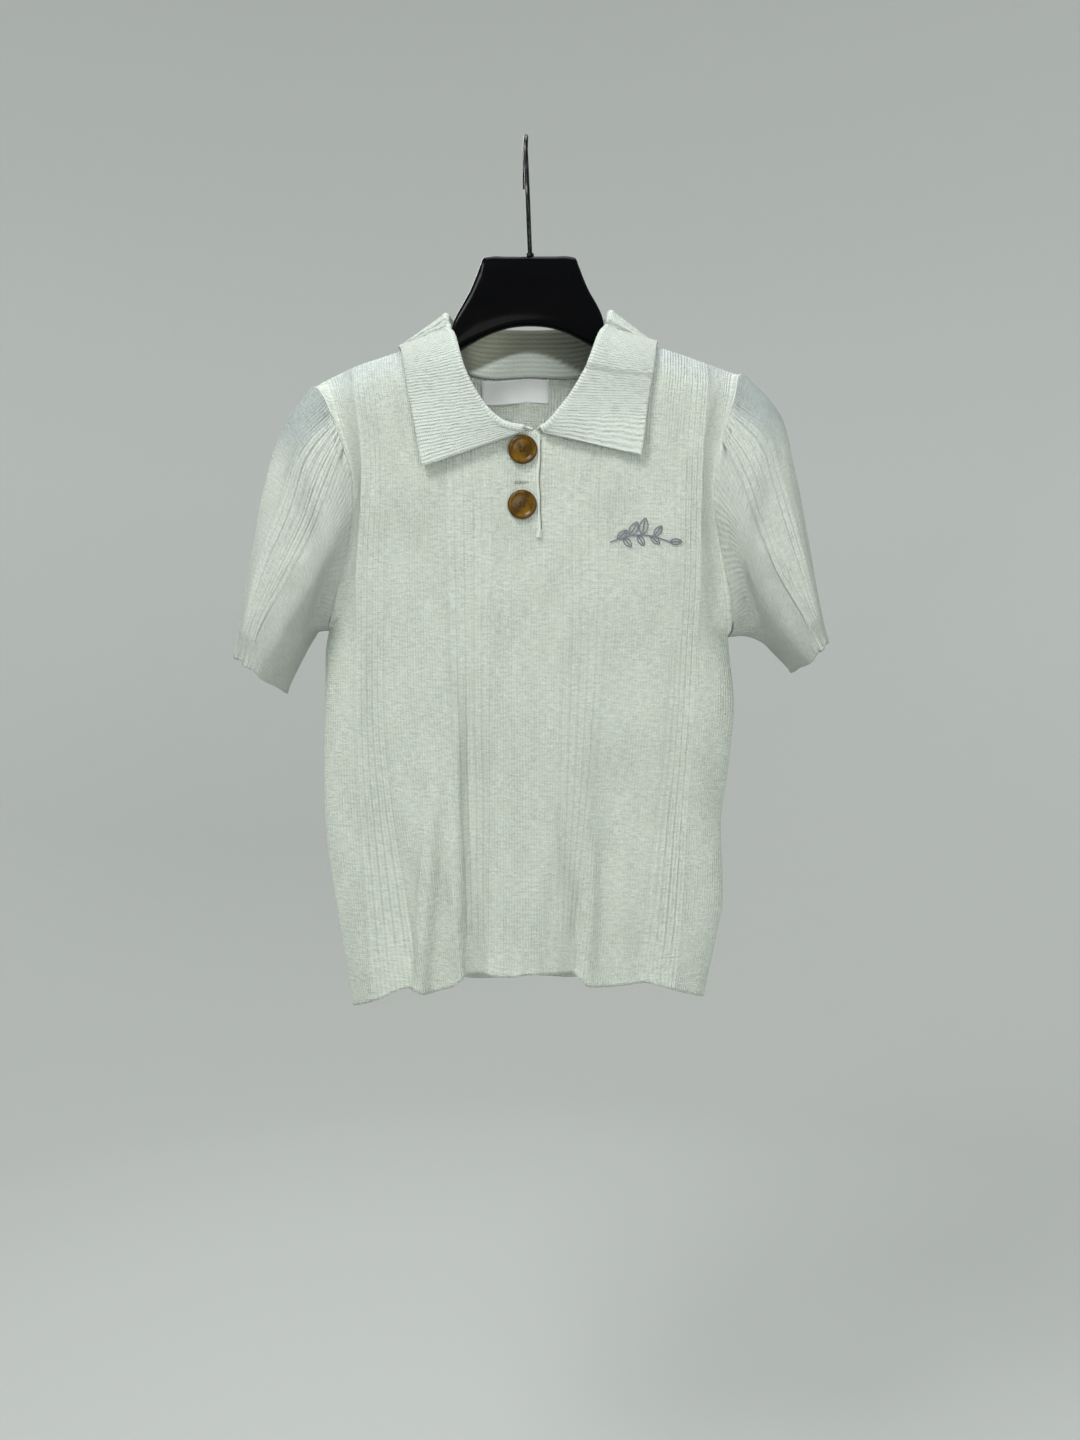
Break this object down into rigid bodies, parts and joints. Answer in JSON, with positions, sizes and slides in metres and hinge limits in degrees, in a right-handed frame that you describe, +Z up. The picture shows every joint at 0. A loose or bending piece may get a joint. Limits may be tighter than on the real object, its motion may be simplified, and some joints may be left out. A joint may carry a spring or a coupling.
{
  "type": "knit polo top",
  "caption": "Short sleeve ribbed knit polo top with a half placket and two large buttons, hung open at neck, cuffs and hem on a contoured hanger with a long wire hook.",
  "frame": {"origin": "inside top of the hanger's hook, where it rests on a rail", "axes": "+X towards the wearer's left, +Y towards the back of the garment, +Z up along the hook"},
  "size_m": [0.497, 0.1047, 0.7375],
  "materials": {
    "ivory_knit": "matt fine rib knit",
    "collar_knit": "matt ripple knit",
    "amber_horn": "polished, clouded like horn",
    "white_label": "satin woven",
    "black_moulding": "gloss",
    "dark_steel": "dark polished wire"
  },
  "bodies": {
    "root": {"front": "ivory_knit", "back": "ivory_knit", "sleeve_left": "ivory_knit", "sleeve_right": "ivory_knit", "collar": "collar_knit", "placket_upper": "ivory_knit", "placket_under": "ivory_knit", "button_upper": "amber_horn", "button_lower": "amber_horn", "neck_label": "white_label", "hanger_body": "black_moulding", "hanger_hook": "dark_steel"}
  },
  "joints": []
}
